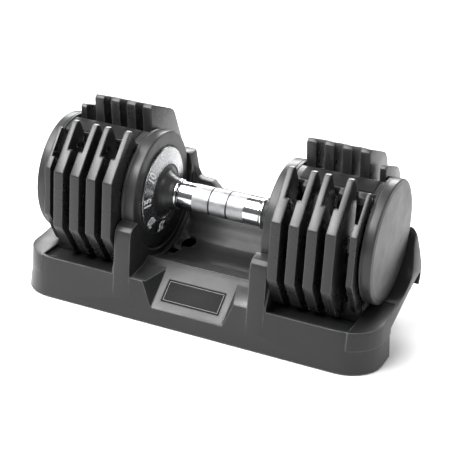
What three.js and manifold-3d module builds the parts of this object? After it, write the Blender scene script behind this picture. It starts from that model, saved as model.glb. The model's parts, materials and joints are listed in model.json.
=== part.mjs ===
// Adjustable dumbbell with a twist-to-select handle, resting in its storage tray.
// Units are millimetres. +X runs along the handle, +Y to the rear of the tray, +Z up.
// The origin is under the middle of the handle, on the surface that the tray stands on.
import * as THREE from 'three';
import { mergeVertices } from 'three/addons/utils/BufferGeometryUtils.js';
import { ConvexGeometry } from 'three/addons/geometries/ConvexGeometry.js';
import Module from 'manifold-3d';

const wasm = await Module();
wasm.setup();

// ---------- fits ----------
const TOUCH = 0.3;            // gap between pieces that touch
const RUNNING = 0.6;          // gap round pieces that turn or slide
const PLATE_GUIDE = 0.5;      // side gap between a selector disc and a plate
const SLOT_GUIDE = 1.0;       // gap between the core and the walls of a plate slot
const PAST = 1.0;             // how far a cutting tool runs past the face it cuts

// ---------- overall sizes ----------
const AXIS_Z = 111.5;         // handle axis above the table
const GRIP_R = 14.25;
const GRIP_BORE_R = 9.5;
const GRIP_HALF = 44.8;
const DRUM_R = 60.3;          // inner disc that carries the dial
const DRUM_INNER_X = GRIP_HALF + 22.6;
const DRUM_WIDTH = 14.3;
const DRUM_WALL = 2.6;
const COVER_T = 2.4;
const CAP_R = 61.2;           // outer end disc
const CAP_T = 12.2;
const CAP_WALL = 3.0;
const FIRST_PLATE_GAP = 0.9;  // between the inner disc and the first plate
const PLATE_T = 10.0;
const PLATE_GAP = 7.9;
const END_PLATE_GAP = 10.2;
const END_PLATE_T = 6.1;
const CAP_GAP = 2.0;          // between the last plate and the outer disc

// ---------- weight plate outline, about the handle axis ----------
const PLATE_HALF_Y = 78.5;
const PLATE_BOTTOM = -65.0;
const PLATE_KNEE_LOW = -29.0;
const PLATE_KNEE_HIGH = 28.5;
const ARM_TIP_Z = 71.0;
const FIN_TOP_Z = 86.0;
const SLOT_HALF = 13.0;
const NOTCH_Z = 47.5;         // foot of the step in the front arm
const NOTCH_DEPTH = 4.3;
const NOTCH_LIP = 33;         // the step's floor is level up to here, in front of the slot wall
const NOTCH_DROP = 34;        // and falls this far towards the slot

// ---------- selector ----------
const SEL_Y = -14.0;          // selector shaft, about the handle axis
const SEL_Z = -20.0;
const SEL_SHAFT_R = 7.0;      // across the corners of the hexagon
const SEL_DISC_R = 24.0;
const TAB_IN_R = 13.6;
const TAB_OUT_R = 19.0;
const TAB_REACH = 2.1;        // how far a tab reaches into a plate
const POCKET_SPARE = 0.8;
const TAB_START = 49;         // degrees, where every tab begins
const TAB_WINDOW = 82;        // degrees of the slot that a tab may fill at the lowest setting
const SEL_STEP = 20;           // degrees of selector turn for one weight setting

// ---------- gears ----------
const GEAR_T = 5.0;
const PINION_TEETH = 9;
const GEAR_RATIO = 2;
const TOOTH_SHARE = 0.36;     // share of the pitch that a tooth fills

// ---------- handle ends ----------
const ROD_R = 5.0;
const SLEEVE_R = 9.0;
const DIAL_R = 44.7;
const DIAL_IN_R = 28.0;
const DIAL_PROUD = 1.9;
const DIAL_RISE = 3.2;
const HUB_TIP_R = 15.0;
const FLANGE_R = 15.8;
const FLANGE_T = 2.6;

// ---------- tray ----------
const FOOT_PROUD = 1.0;
const END_SPACE = 14.2;       // from the outer disc to the end of the tray
const TRAY_HALF_Y = PLATE_HALF_Y - 4.6;
const TRAY_DRAFT_X = 3.7;
const TRAY_DRAFT_Y = 1.4;
const TRAY_CORNER = 36.0;     // in plan, at the front
const TRAY_REAR_CORNER = 8.0;
const RIM_Z = AXIS_Z - 67.3;
const TRAY_WALL = 3.0;
const DECK_Z = AXIS_Z - 71.5;
const SADDLE_IN_X = DRUM_INNER_X - 4.1;
const PILLAR_OUT_X = DRUM_INNER_X + 13.1;
const VALLEY_R = 67.5;
const REAR_POST_TOP = 20.5;   // about the handle axis
const FRONT_POST_TOP = -14.0;

// ---------- worked out ----------
const DRUM_OUTER_X = DRUM_INNER_X + DRUM_WIDTH;
const PLATE_A_X = DRUM_OUTER_X + FIRST_PLATE_GAP;
const PLATE_PITCH = PLATE_T + PLATE_GAP;
const PLATE_NAMES = ['a', 'b', 'c', 'd'];
const PLATE_D_END = PLATE_A_X + 3 * PLATE_PITCH + PLATE_T;
const END_PLATE_X = PLATE_D_END + END_PLATE_GAP;
const CAP_X = END_PLATE_X + END_PLATE_T + CAP_GAP;
const CAP_OUT_X = CAP_X + CAP_T;
const TRAY_HALF_X = CAP_OUT_X + END_SPACE;
const CAVITY_X = DRUM_INNER_X + DRUM_WALL;
const COVER_X = DRUM_OUTER_X - COVER_T;
const GEAR_X = CAVITY_X + 1.4;
const CENTRES = Math.hypot(SEL_Y, SEL_Z);
const PINION_PITCH_R = CENTRES / (1 + GEAR_RATIO);
const GEAR_PITCH_R = CENTRES - PINION_PITCH_R;
const GEAR_MODULE = 2 * PINION_PITCH_R / PINION_TEETH;
const SPINE = { y0: SEL_Y - SLOT_HALF + 3, y1: SEL_Y + SLOT_HALF - 5, z0: 44, z1: 51 };
const SADDLE_R = DRUM_R + TOUCH;
const LOCK_Y = SEL_Y - 14;
const LOCK_X = GEAR_X + 3.6;
const LOCK_PIN_R = 2.6;
const FULL = 40;              // facets of a large circle
const FINE = 24;
const SMALL = 14;

const rad = (degrees) => degrees * Math.PI / 180;

// ---------- making solids ----------
// turns any closed three.js geometry into a manifold solid with its faces pointing out
function solid(geometry) {
  const bare = geometry.index ? geometry.toNonIndexed() : geometry.clone();
  bare.deleteAttribute('normal');
  bare.deleteAttribute('uv');
  const merged = mergeVertices(bare, 1e-4);
  const place = merged.attributes.position;
  const index = merged.index.array;
  const tris = [];
  let volume = 0;
  const corner = [0, 1, 2].map(() => new THREE.Vector3());
  for (let i = 0; i < index.length; i += 3) {
    const [a, b, c] = [index[i], index[i + 1], index[i + 2]];
    if (a === b || b === c || c === a) continue;
    tris.push([a, b, c]);
    [a, b, c].forEach((v, k) => corner[k].fromBufferAttribute(place, v));
    volume += corner[0].dot(corner[1].clone().cross(corner[2]));
  }
  const ordered = tris.flatMap(([a, b, c]) => (volume < 0 ? [a, c, b] : [a, b, c]));
  const mesh = new wasm.Mesh({
    numProp: 3,
    vertProperties: Float32Array.from(place.array),
    triVerts: Uint32Array.from(ordered),
  });
  return new wasm.Manifold(mesh);
}

function geometryOf(shape) {
  const mesh = shape.getMesh();
  const geometry = new THREE.BufferGeometry();
  const places = new Float32Array(mesh.numVert * 3);
  for (let i = 0; i < mesh.numVert; i += 1) {
    for (let k = 0; k < 3; k += 1) places[3 * i + k] = mesh.vertProperties[i * mesh.numProp + k];
  }
  geometry.setAttribute('position', new THREE.BufferAttribute(places, 3));
  geometry.setIndex(Array.from(mesh.triVerts));
  return geometry;
}

// the same piece on the other side of the middle plane X = 0
function mirrored(geometry) {
  const copy = geometry.clone();
  copy.scale(-1, 1, 1);
  const index = copy.index.array;
  for (let i = 0; i < index.length; i += 3) [index[i + 1], index[i + 2]] = [index[i + 2], index[i + 1]];
  return copy;
}

const joined = (first, ...rest) => rest.reduce((sum, shape) => sum.add(shape), first);
const cutBy = (first, ...rest) => rest.reduce((left, shape) => left.subtract(shape), first);

const outline = (points) => new THREE.Shape(points.map(([u, v]) => new THREE.Vector2(u, v)));

function extruded(points, depth) {
  return new THREE.ExtrudeGeometry(outline(points), { depth, bevelEnabled: false, steps: 1 });
}

const AXIS = (x, y, z) => new THREE.Vector3(x, y, z);

// outline in (Y, Z), running from x0 to x1
function alongX(points, x0, x1) {
  const geometry = extruded(points, x1 - x0);
  geometry.applyMatrix4(new THREE.Matrix4().makeBasis(AXIS(0, 1, 0), AXIS(0, 0, 1), AXIS(1, 0, 0)));
  geometry.translate(x0, 0, 0);
  return solid(geometry);
}

// outline in (X, Z), running from y0 to y1
function alongY(points, y0, y1) {
  const geometry = extruded(points, y1 - y0);
  geometry.applyMatrix4(new THREE.Matrix4().makeBasis(AXIS(1, 0, 0), AXIS(0, 0, 1), AXIS(0, -1, 0)));
  geometry.translate(0, y1, 0);
  return solid(geometry);
}

function box(x0, x1, y0, y1, z0, z1) {
  const geometry = new THREE.BoxGeometry(x1 - x0, y1 - y0, z1 - z0);
  geometry.translate((x0 + x1) / 2, (y0 + y1) / 2, (z0 + z1) / 2);
  return solid(geometry);
}

// a turned piece: profile of [radius, x] points round an axis along X through (y, z)
function turned(profile, sides = FULL, y = 0, z = AXIS_Z) {
  const loop = [...profile, profile[0]].map(([r, x]) => new THREE.Vector2(r, x));
  const geometry = new THREE.LatheGeometry(loop, sides);
  geometry.applyMatrix4(new THREE.Matrix4().makeBasis(AXIS(0, 1, 0), AXIS(1, 0, 0), AXIS(0, 0, -1)));
  geometry.translate(0, y, z);
  return solid(geometry);
}

const bar = (r, x0, x1, sides = FULL, y = 0, z = AXIS_Z) =>
  turned([[0, x0], [r, x0], [r, x1], [0, x1]], sides, y, z);
const ring = (r0, r1, x0, x1, sides = FULL, y = 0, z = AXIS_Z) =>
  turned([[r0, x0], [r1, x0], [r1, x1], [r0, x1]], sides, y, z);

function upright(r, x, y, z0, z1, sides = SMALL) {
  const geometry = new THREE.CylinderGeometry(r, r, z1 - z0, sides);
  geometry.rotateX(Math.PI / 2);
  geometry.translate(x, y, (z0 + z1) / 2);
  return solid(geometry);
}

// a point at radius r, its angle in degrees from +Y towards +Z
const polar = (r, angle, cy = 0, cz = 0) => [cy + r * Math.cos(rad(angle)), cz + r * Math.sin(rad(angle))];

function arc(r, from, to, steps, cy = 0, cz = 0) {
  return Array.from({ length: steps + 1 }, (_, i) => polar(r, from + (to - from) * i / steps, cy, cz));
}

const aboutAxis = (points) => points.map(([y, z]) => [y, z + AXIS_Z]);
const hexagon = (r, x0, x1) => bar(r, x0, x1, 6, SEL_Y, AXIS_Z + SEL_Z);

// rectangle in plan with its front corners rounded by front and its rear corners by rear
function roundedPlan(halfX, halfY, front, rear) {
  const corners = [[halfX - rear, halfY - rear, 0, rear], [rear - halfX, halfY - rear, 90, rear],
    [front - halfX, front - halfY, 180, front], [halfX - front, front - halfY, 270, front]];
  return corners.flatMap(([x, y, start, r]) => arc(r, start, start + 90, r > 20 ? 7 : 4, x, y));
}

// the tray's rounded block, a distance inside its outer faces; the walls lean in with height,
// the end walls only at the front
function trayBlock(inset, z0, z1) {
  const [halfX, halfY] = [TRAY_HALF_X - inset, TRAY_HALF_Y - inset];
  const plan = roundedPlan(halfX, halfY, TRAY_CORNER - inset, TRAY_REAR_CORNER - inset);
  const geometry = extruded(plan, z1 - z0);
  const place = geometry.attributes.position;
  for (let i = 0; i < place.count; i += 1) {
    const height = place.getZ(i) + z0;
    const share = Math.min(1, (height - FOOT_PROUD) / (RIM_Z - FOOT_PROUD));
    const endShare = place.getY(i) > 0 ? 0 : share;
    place.setX(i, place.getX(i) * (1 - endShare * TRAY_DRAFT_X / halfX));
    place.setY(i, place.getY(i) * (1 - share * TRAY_DRAFT_Y / halfY));
    place.setZ(i, height);
  }
  return solid(geometry);
}

// ---------- weight plates ----------
function slotWalls(armFoot, finFoot, armTop, finTop) {
  const bottom = arc(SLOT_HALF, 180, 360, 10, SEL_Y, SEL_Z);
  return [...armTop, [SEL_Y - SLOT_HALF, armFoot], ...bottom, [SEL_Y + SLOT_HALF, finFoot], ...finTop];
}

function mainPlateOutline() {
  const front = [[-PLATE_HALF_Y, PLATE_KNEE_LOW], [-PLATE_HALF_Y, PLATE_KNEE_HIGH]];
  const tip = [[-46.5, ARM_TIP_Z - 3], [-43.5, ARM_TIP_Z], [-39, ARM_TIP_Z], [-35, ARM_TIP_Z - 6]];
  const finFront = [[4.4, 58], [0.2, 80], [0.4, FIN_TOP_Z - 3], [3.5, FIN_TOP_Z - 0.4]];
  const finTop = [[45, 71], [51, 68], [55.5, 63]];
  const rear = [[PLATE_HALF_Y, 23], [PLATE_HALF_Y, PLATE_KNEE_LOW]];
  const base = [[55, PLATE_BOTTOM + 3], [51, PLATE_BOTTOM], [-51, PLATE_BOTTOM], [-55, PLATE_BOTTOM + 3]];
  return [...front, ...slotWalls(51, 30, tip, finFront), ...finTop, ...rear, ...base];
}

function endPlateOutline() {
  const front = [[-68.3, -22.5], [-68.3, 26.5]];
  const tip = [[-43.5, 57.5], [-41, 60], [-38.5, 60], [-35.5, 55]];
  const finFront = [[3.6, 52], [1.4, 70], [3.8, 72.8]];
  const finTop = [[41, 60.5], [48.5, 53]];
  const rear = [[68.3, 22], [68.3, -22.5], [46, -56.5], [43, -59]];
  const base = [[-43, -59], [-46, -56.5]];
  return [...front, ...slotWalls(43, 26, tip, finFront), ...finTop, ...rear, ...base];
}

// side is +1 when the selector that lifts the plate is on its outer face, -1 on its inner face
function plate(points, x0, thickness, side, notchZ) {
  const x1 = x0 + thickness;
  const face = side > 0 ? x1 : x0;
  const pocketDepth = TAB_REACH + POCKET_SPARE;
  const depths = (depth) => (side > 0 ? [face - depth, face + PAST] : [face - PAST, face + depth]);
  const [p0, p1] = depths(pocketDepth);
  const pocket = bar(TAB_OUT_R + RUNNING, p0, p1, FINE, SEL_Y, AXIS_Z + SEL_Z);
  const [n0, n1] = depths(Math.min(NOTCH_DEPTH, thickness / 2));
  const wall = SEL_Y - SLOT_HALF;
  const lip = wall - NOTCH_LIP;
  const front = -PLATE_HALF_Y - PAST;
  const notch = alongX(aboutAxis([[front, notchZ], [lip, notchZ], [wall, notchZ - NOTCH_DROP],
    [SEL_Y, notchZ - NOTCH_DROP], [SEL_Y, FIN_TOP_Z], [front, FIN_TOP_Z]]), n0, n1);
  return cutBy(alongX(aboutAxis(points), x0, x1), pocket, notch);
}

// ---------- selector discs ----------
function tab(span, x0, x1) {
  const ends = [TAB_START, TAB_START + span];
  const steps = Math.max(2, Math.round(span / 10));
  return [0, 180].map((half) => {
    const outer = arc(TAB_OUT_R, ends[0] + half, ends[1] + half, steps, SEL_Y, AXIS_Z + SEL_Z);
    const inner = arc(TAB_IN_R, ends[1] + half, ends[0] + half, steps, SEL_Y, AXIS_Z + SEL_Z);
    return alongX([...outer, ...inner], x0, x1);
  });
}

// setting numbers are the weight steps at which the inner and the outer neighbour are picked up
function selectorDisc(x0, x1, innerSetting, outerSetting) {
  const span = (setting) => TAB_WINDOW - SEL_STEP * (setting - 1);
  const reach = PLATE_GUIDE + TAB_REACH;
  const tabs = [];
  if (innerSetting) tabs.push(...tab(span(innerSetting), x0 - reach, x0 + PAST));
  if (outerSetting) tabs.push(...tab(span(outerSetting), x1 - PAST, x1 + reach));
  const disc = bar(SEL_DISC_R, x0, x1, FINE, SEL_Y, AXIS_Z + SEL_Z);
  return cutBy(joined(disc, ...tabs), hexagon(SEL_SHAFT_R + TOUCH, x0 - 5, x1 + 5));
}

// ---------- gears ----------
function gearOutline(pitchR, teeth, phase) {
  const step = 360 / teeth;
  const tipR = pitchR + 0.9 * GEAR_MODULE;
  const rootR = pitchR - 1.15 * GEAR_MODULE;
  const flank = step * TOOTH_SHARE;
  const points = [];
  for (let i = 0; i < teeth; i += 1) {
    const middle = phase + i * step;
    points.push(polar(rootR, middle - flank * 0.72), polar(pitchR, middle - flank * 0.5));
    points.push(polar(tipR, middle - flank * 0.22), polar(tipR, middle + flank * 0.22));
    points.push(polar(pitchR, middle + flank * 0.5), polar(rootR, middle + flank * 0.72));
  }
  return points;
}

// angle of the line of centres, seen from the handle axis
const MESH_ANGLE = Math.atan2(SEL_Z, SEL_Y) * 180 / Math.PI;

// a gap of the driven gear faces straight up, so that the lock tooth can drop into it
const DRIVEN_STEP = 360 / (PINION_TEETH * GEAR_RATIO);
const DRIVEN_PHASE = 90 + DRIVEN_STEP / 2;

function driveGear() {
  // the driven gear's place at the mesh point sets the pinion's own phase
  const towardsPinion = MESH_ANGLE + 180;
  const offset = ((towardsPinion - DRIVEN_PHASE) % DRIVEN_STEP + DRIVEN_STEP) % DRIVEN_STEP;
  const pinionStep = 360 / PINION_TEETH;
  const phase = MESH_ANGLE + offset * GEAR_RATIO + pinionStep / 2;
  const body = alongX(aboutAxis(gearOutline(PINION_PITCH_R, PINION_TEETH, phase)), GEAR_X, GEAR_X + GEAR_T);
  return cutBy(body, bar(ROD_R + TOUCH, GEAR_X - PAST, GEAR_X + GEAR_T + PAST, SMALL));
}

function drivenGear() {
  const teeth = PINION_TEETH * GEAR_RATIO;
  const points = gearOutline(GEAR_PITCH_R, teeth, DRIVEN_PHASE).map(([y, z]) => [y + SEL_Y, z + SEL_Z]);
  const body = alongX(aboutAxis(points), GEAR_X, GEAR_X + GEAR_T);
  return cutBy(body, hexagon(SEL_SHAFT_R + TOUCH, GEAR_X - PAST, GEAR_X + GEAR_T + PAST));
}

// ---------- inner disc ----------
function drum() {
  const shell = turned([[SLEEVE_R + RUNNING, DRUM_INNER_X], [DRUM_R - 1.2, DRUM_INNER_X],
    [DRUM_R, DRUM_INNER_X + 1.2], [DRUM_R, DRUM_OUTER_X], [DRUM_R - DRUM_WALL, DRUM_OUTER_X],
    [DRUM_R - DRUM_WALL, CAVITY_X], [SLEEVE_R + RUNNING, CAVITY_X]]);
  const bottom = AXIS_Z - DRUM_R - PAST;
  return cutBy(shell, upright(LOCK_PIN_R + 1, LOCK_X, LOCK_Y, bottom, bottom + 16));
}

function drumCover() {
  const plateShape = bar(DRUM_R - DRUM_WALL - TOUCH, COVER_X, DRUM_OUTER_X);
  const shaftHole = bar(SEL_SHAFT_R + RUNNING, COVER_X - PAST, DRUM_OUTER_X + PAST, SMALL,
    SEL_Y, AXIS_Z + SEL_Z);
  const spineHole = box(COVER_X - PAST, DRUM_OUTER_X + PAST, SPINE.y0 - TOUCH, SPINE.y1 + TOUCH,
    AXIS_Z + SPINE.z0 - TOUCH, AXIS_Z + SPINE.z1 + TOUCH);
  const shelf = box(COVER_X - 4.6, COVER_X + PAST, LOCK_Y - 3, LOCK_Y + 3, AXIS_Z + 14, AXIS_Z + 16);
  return cutBy(joined(plateShape, shelf), shaftHole, spineHole);
}

// ---------- spine, bridge and outer disc ----------
function spine() {
  return box(CAVITY_X + TOUCH, CAP_OUT_X - CAP_WALL - TOUCH, SPINE.y0, SPINE.y1,
    AXIS_Z + SPINE.z0, AXIS_Z + SPINE.z1);
}

const BRIDGE_R = 60.1;
const BRIDGE_REAR = 94.5;     // degrees from +Y towards +Z
const BRIDGE_FRONT = 115.5;
const TOOTH_FRONT = 122.5;

// sector of the disc envelope between two angles, down to a flat underside
function bridgeSection(front, floor) {
  const top = arc(BRIDGE_R, BRIDGE_REAR, front, 6);
  const last = top[top.length - 1];
  return aboutAxis([...top, [last[0], floor], [top[0][0], floor]]);
}

function bridgeCover() {
  const floor = SPINE.z1 + TOUCH;
  const x0 = DRUM_OUTER_X + TOUCH;
  const x1 = CAP_X - TOUCH;
  const main = alongX(bridgeSection(BRIDGE_FRONT, floor), x0, x1);
  const gaps = PLATE_NAMES.map((_, i) => PLATE_A_X + i * PLATE_PITCH + PLATE_T);
  const teeth = gaps.map((start, i) => {
    const end = i === 3 ? END_PLATE_X : start + PLATE_GAP;
    return alongX(bridgeSection(TOOTH_FRONT, SPINE.z0), start + SLOT_GUIDE, end - SLOT_GUIDE);
  });
  const spineRoom = box(x0 - PAST, x1 + PAST, SPINE.y0 - TOUCH, SPINE.y1 + TOUCH,
    AXIS_Z + SPINE.z0 - 5, AXIS_Z + SPINE.z1 + TOUCH);
  return cutBy(joined(main, ...teeth), spineRoom);
}

function bridgeLabel() {
  const outer = arc(BRIDGE_R + TOUCH + 0.6, BRIDGE_REAR + 1, BRIDGE_FRONT - 1, 6);
  const inner = arc(BRIDGE_R + TOUCH, BRIDGE_FRONT - 1, BRIDGE_REAR + 1, 6);
  return alongX(aboutAxis([...outer, ...inner]), PLATE_A_X + 5.5, CAP_X - 4);
}

function outerCap() {
  const edge = 1.6;
  const inside = CAP_OUT_X - CAP_WALL;
  const shell = turned([[0, CAP_OUT_X], [CAP_R - edge, CAP_OUT_X], [CAP_R, CAP_OUT_X - edge],
    [CAP_R, CAP_X + 1], [CAP_R - 1, CAP_X], [CAP_R - CAP_WALL, CAP_X], [CAP_R - CAP_WALL, inside],
    [0, inside]]);
  const bearing = ring(SEL_SHAFT_R + RUNNING, SEL_SHAFT_R + 4, CAP_X + PAST, CAP_OUT_X - 1, SMALL + 4,
    SEL_Y, AXIS_Z + SEL_Z);
  return joined(shell, bearing);
}

// ---------- handle ----------
function grip() {
  const turnedEnd = 1.2;
  return turned([[GRIP_BORE_R, -GRIP_HALF], [GRIP_R - turnedEnd, -GRIP_HALF], [GRIP_R, turnedEnd - GRIP_HALF],
    [GRIP_R, GRIP_HALF - turnedEnd], [GRIP_R - turnedEnd, GRIP_HALF], [GRIP_BORE_R, GRIP_HALF]], FINE);
}

const FLANGE_X = GRIP_HALF + TOUCH;
const HUB_X = FLANGE_X + FLANGE_T + TOUCH;
const DIAL_X = DRUM_INNER_X - DIAL_PROUD - TOUCH;

function flange() {
  const spigot = GRIP_BORE_R - TOUCH;
  return turned([[ROD_R + TOUCH, FLANGE_X - 9], [spigot, FLANGE_X - 9], [spigot, FLANGE_X],
    [FLANGE_R - 1, FLANGE_X], [FLANGE_R, FLANGE_X + 1], [FLANGE_R, FLANGE_X + FLANGE_T],
    [ROD_R + TOUCH, FLANGE_X + FLANGE_T]], FINE);
}

function hub() {
  const dialSeat = DIAL_X - DIAL_RISE + 0.6;
  return turned([[ROD_R + TOUCH, HUB_X], [HUB_TIP_R, HUB_X], [HUB_TIP_R + 1.2, HUB_X + 4.5],
    [HUB_TIP_R + 4, dialSeat - 5], [DIAL_IN_R - 6, dialSeat - 1.8], [DIAL_IN_R - TOUCH, dialSeat],
    [DIAL_IN_R - TOUCH, DRUM_INNER_X - RUNNING], [SLEEVE_R, DRUM_INNER_X - RUNNING],
    [SLEEVE_R, GEAR_X - TOUCH], [ROD_R + TOUCH, GEAR_X - TOUCH]], FINE);
}

function dial() {
  return turned([[DIAL_IN_R, DIAL_X - DIAL_RISE], [DIAL_IN_R + 1, DIAL_X - DIAL_RISE], [DIAL_R - 0.8, DIAL_X],
    [DIAL_R, DIAL_X + 0.8], [DIAL_R, DRUM_INNER_X - RUNNING], [DIAL_IN_R, DRUM_INNER_X - RUNNING]]);
}

const NUT_X = GEAR_X + GEAR_T + 0.4;

function rod() {
  return bar(ROD_R, -COVER_X + TOUCH, COVER_X - TOUCH, SMALL);
}

function rodNut() {
  return cutBy(bar(8, NUT_X, COVER_X - TOUCH, 6), bar(ROD_R + TOUCH, NUT_X - PAST, COVER_X + PAST, SMALL));
}

// ---------- safety lock ----------
const LOCK_ARM_Z = SEL_Z + GEAR_PITCH_R + 0.9 * GEAR_MODULE + RUNNING;
const LOCK_SEAT_Z = -Math.sqrt((DRUM_R - DRUM_WALL) ** 2 - LOCK_Y ** 2) + 1.2;

function lockBar() {
  const z = (height) => AXIS_Z + height;
  const x0 = NUT_X;
  const x1 = COVER_X - TOUCH;
  const strip = box(x0, x1, LOCK_Y - 3, LOCK_Y + 3, z(-44), z(LOCK_ARM_Z + 3));
  const arm = box(x0, x1, LOCK_Y, SEL_Y + 0.8, z(LOCK_ARM_Z), z(LOCK_ARM_Z + 3));
  const tooth = box(GEAR_X + 1, x1, SEL_Y - 0.8, SEL_Y + 0.8, z(LOCK_ARM_Z), z(LOCK_ARM_Z + 3));
  const foot = box(LOCK_X - 3, x1, LOCK_Y - 3, LOCK_Y + 3, z(-44), z(-41));
  const pin = upright(LOCK_PIN_R, LOCK_X, LOCK_Y, z(LOCK_SEAT_Z), z(-43));
  return joined(strip, arm, tooth, foot, pin);
}

class Helix extends THREE.Curve {
  constructor(radius, height, turns) {
    super();
    Object.assign(this, { radius, height, turns });
  }

  getPoint(t, target = new THREE.Vector3()) {
    const angle = t * this.turns * 2 * Math.PI;
    return target.set(this.radius * Math.cos(angle), this.radius * Math.sin(angle), t * this.height);
  }
}

function lockSpring() {
  const wire = outline(arc(0.35, 0, 270, 3));
  const z0 = LOCK_ARM_Z + 3 + 0.35 + TOUCH;
  const coil = new Helix(0.9, 14 - 0.35 - TOUCH - z0, 4);
  const geometry = new THREE.ExtrudeGeometry(wire, { steps: 28, extrudePath: coil, bevelEnabled: false });
  geometry.translate((NUT_X + COVER_X) / 2 - 0.1, LOCK_Y, AXIS_Z + z0);
  return solid(geometry);
}

// ---------- tray ----------
const FACE_FRONT_FOOT = [-73.4, RIM_Z - 26.4];   // foot of the slanted badge face, (Y, Z)
const FACE_TOP = [-38.8, RIM_Z + 4];             // head of the slanted badge face
const FACE_HALF_X = 38.5;
const FACE_MOUTH_X = 49.1;                  // where the side facets meet the rim
const SADDLE_OUT_X = DRUM_OUTER_X + 0.6;
const END_CRADLE_X = CAP_X - 1.0;
const END_CRADLE_R = CAP_R + 1.4;
const UNDERSIDE = FOOT_PROUD - PAST;

function frontPost() {
  const top = FRONT_POST_TOP;
  const face = -73.3;
  const root = RIM_Z - 30 - AXIS_Z;
  return alongX(aboutAxis([[face, root], [face, top - 13], [face + 1.4, top - 6.5], [face + 5, top - 3],
    [-58, top], [-50, -40], [-50, root]]), SADDLE_IN_X, PILLAR_OUT_X);
}

// the rear wall between the posts, with a post at each end
function rearWall() {
  const inner = PILLAR_OUT_X - 19;
  const right = [[inner - 28.4, -17], [inner - 19.4, -8.4], [inner - 7.4, -8], [inner - 3.4, -6], [inner, 0],
    [inner + 4.6, REAR_POST_TOP - 1.5], [inner + 6.6, REAR_POST_TOP], [PILLAR_OUT_X, REAR_POST_TOP],
    [PILLAR_OUT_X, FOOT_PROUD - AXIS_Z]];
  const left = right.map(([x, z]) => [-x, z]).reverse();
  return alongY(aboutAxis([...left, ...right]), 40, 76.8);
}

// saddle blocks and the deck between them, before the round hollows are cut
function middleBlock() {
  const root = 20 - AXIS_Z;
  const deck = aboutAxis([[-72.4, root], [-72.4, -69], [-41, -64.5], [-32.5, -59], [0, -40], [60, -17.5],
    [74, -17.5], [74, root]]);
  const saddle = aboutAxis([[-72.6, root], [-72.6, -62], [-58, -30], [0, -40], [58, -10], [74, -10],
    [74, root]]);
  return joined(alongX(deck, -SADDLE_IN_X - 1, SADDLE_IN_X + 1), alongX(saddle, SADDLE_IN_X, SADDLE_OUT_X),
    alongX(saddle, -SADDLE_OUT_X, -SADDLE_IN_X));
}

// top of the end block about the handle axis: a ramp that climbs gently from the rim
const RAMP_TOP = [[-58, RIM_Z - AXIS_Z], [-30, -66.6], [0, -63.3], [12, -61.2], [30, -56.5], [60, -54],
  [75, -54]];
// above the ramp the horn rises behind the outer disc
const HORN_TOP = [[-10, -70], [0, -63], [56, -28], [74, -10], [75, -10]];
const HORN_LEAN = { x: 160.3 - 191, y: 0.21, z: -0.3 };   // its outer face, from the end of the tray
const END_SKIN = 3.5;

// everything on the inner side of the horn's leaning outer face, moved in by inset
function insideHornFace(inset) {
  const faceX = (y, z) => TRAY_HALF_X + HORN_LEAN.x + HORN_LEAN.y * y + HORN_LEAN.z * z - inset;
  const corners = [[-90, -100], [90, -100], [-90, 20], [90, 20]];
  const points = corners.flatMap(([y, z]) => [new THREE.Vector3(END_CRADLE_X - 5, y, z + AXIS_Z),
    new THREE.Vector3(faceX(y, z), y, z + AXIS_Z)]);
  return solid(new ConvexGeometry(points));
}

// ramp, cradle under the outer disc and the horn behind it
function endHorn() {
  const floor = 25 - AXIS_Z;
  const within = trayBlock(0, 20, AXIS_Z);
  const across = (top) => alongX(aboutAxis([[-75, floor], ...top, [75, floor]]), END_CRADLE_X, TRAY_HALF_X);
  const end = aboutAxis([[END_CRADLE_X, floor], [END_CRADLE_X, -9.5], [TRAY_HALF_X - 19, -10],
    [TRAY_HALF_X - 14, -12.5], [TRAY_HALF_X - 10, -17.5], [TRAY_HALF_X - 8, -24], [TRAY_HALF_X, -52],
    [TRAY_HALF_X, floor]]);
  const ramp = across([[-75, RIM_Z - AXIS_Z], ...RAMP_TOP]).intersect(within);
  const horn = across(HORN_TOP).intersect(alongY(end, -TRAY_HALF_Y, TRAY_HALF_Y)).intersect(within);
  return joined(ramp, horn.intersect(insideHornFace(0)));
}

// the slanted badge face and its two side facets, as the wedge that is cut away
function badgeWedge() {
  const foot = new THREE.Vector3(FACE_HALF_X, ...FACE_FRONT_FOOT);
  const head = new THREE.Vector3(FACE_HALF_X, ...FACE_TOP);
  const along = head.clone().sub(foot);
  const mouth = new THREE.Vector3(FACE_MOUTH_X, -72.5, RIM_Z);
  const out = mouth.sub(foot.clone().addScaledVector(along, 0.35));
  const low = foot.addScaledVector(along, -0.25);
  const high = head.addScaledVector(along, 0.25);
  const right = [low, high, low.clone().addScaledVector(out, 1.8), high.clone().addScaledVector(out, 1.8)];
  const left = right.map((p) => new THREE.Vector3(-p.x, p.y, p.z));
  return solid(new ConvexGeometry([...right, ...left]));
}

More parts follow.
